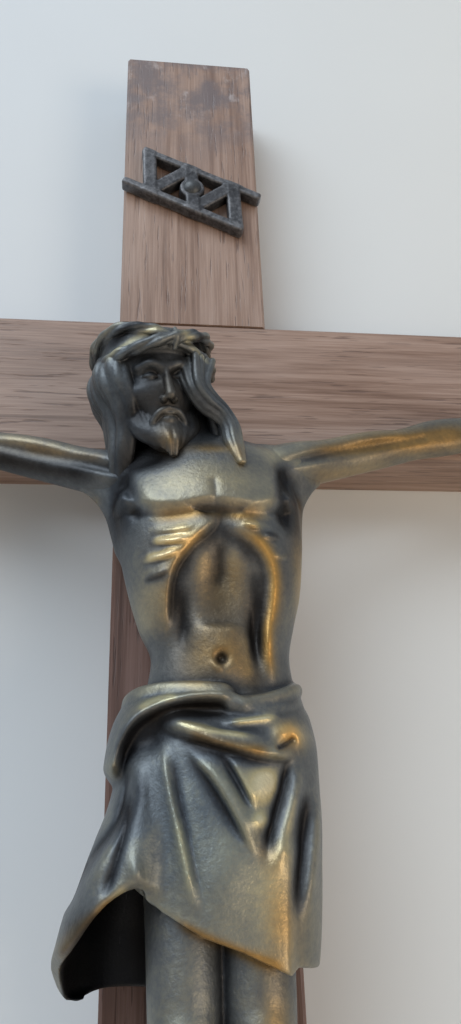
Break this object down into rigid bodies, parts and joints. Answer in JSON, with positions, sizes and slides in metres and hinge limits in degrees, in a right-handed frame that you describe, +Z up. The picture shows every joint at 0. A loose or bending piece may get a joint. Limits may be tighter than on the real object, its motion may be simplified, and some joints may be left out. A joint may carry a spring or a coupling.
{
  "type": "wall crucifix",
  "caption": "Wall crucifix: halved wooden cross with a nailed cast metal figure, a turning openwork title strip and a swinging wire hanger let into its back.",
  "frame": {"origin": "on the back face of the upright, at the middle of the crossing", "axes": "+Z up the upright, +Y into the wall, +X to the viewer's right; the figure looks along -Y"},
  "size_m": [0.178, 0.0378, 0.263],
  "materials": {
    "wood": "oiled reddish brown hardwood with fine dark pores",
    "bronze": "cast and darkly patinated, rubbed bright on the high places",
    "nail_bronze": "dark patinated domed nails",
    "dark_metal": "blackened, satin",
    "hanger_metal": "plain drawn wire and strip, dulled"
  },
  "bodies": {
    "cross": {"upright": "wood", "crossbeam": "wood", "corpus": "bronze", "right_arm": "bronze", "left_arm": "bronze", "right_hand_nail": "nail_bronze", "left_hand_nail": "nail_bronze", "foot_nail": "nail_bronze", "title_pin": "dark_metal", "hanger_strap": "hanger_metal", "hanger_nails": "hanger_metal"},
    "title": {"title_strip": "dark_metal"},
    "hanger": {"hanger_ring": "hanger_metal"}
  },
  "joints": [
    {"name": "title_turn", "type": "hinge", "parent": "cross", "child": "title", "pos_m": [0, -0.013, 0.0415], "axis": [0, 1, 0], "continuous": true},
    {"name": "ring_swing", "type": "hinge", "parent": "cross", "child": "hanger", "pos_m": [0, -0.0026, 0.0465], "axis": [1, 0, 0], "range_deg": [0, 180]}
  ]
}
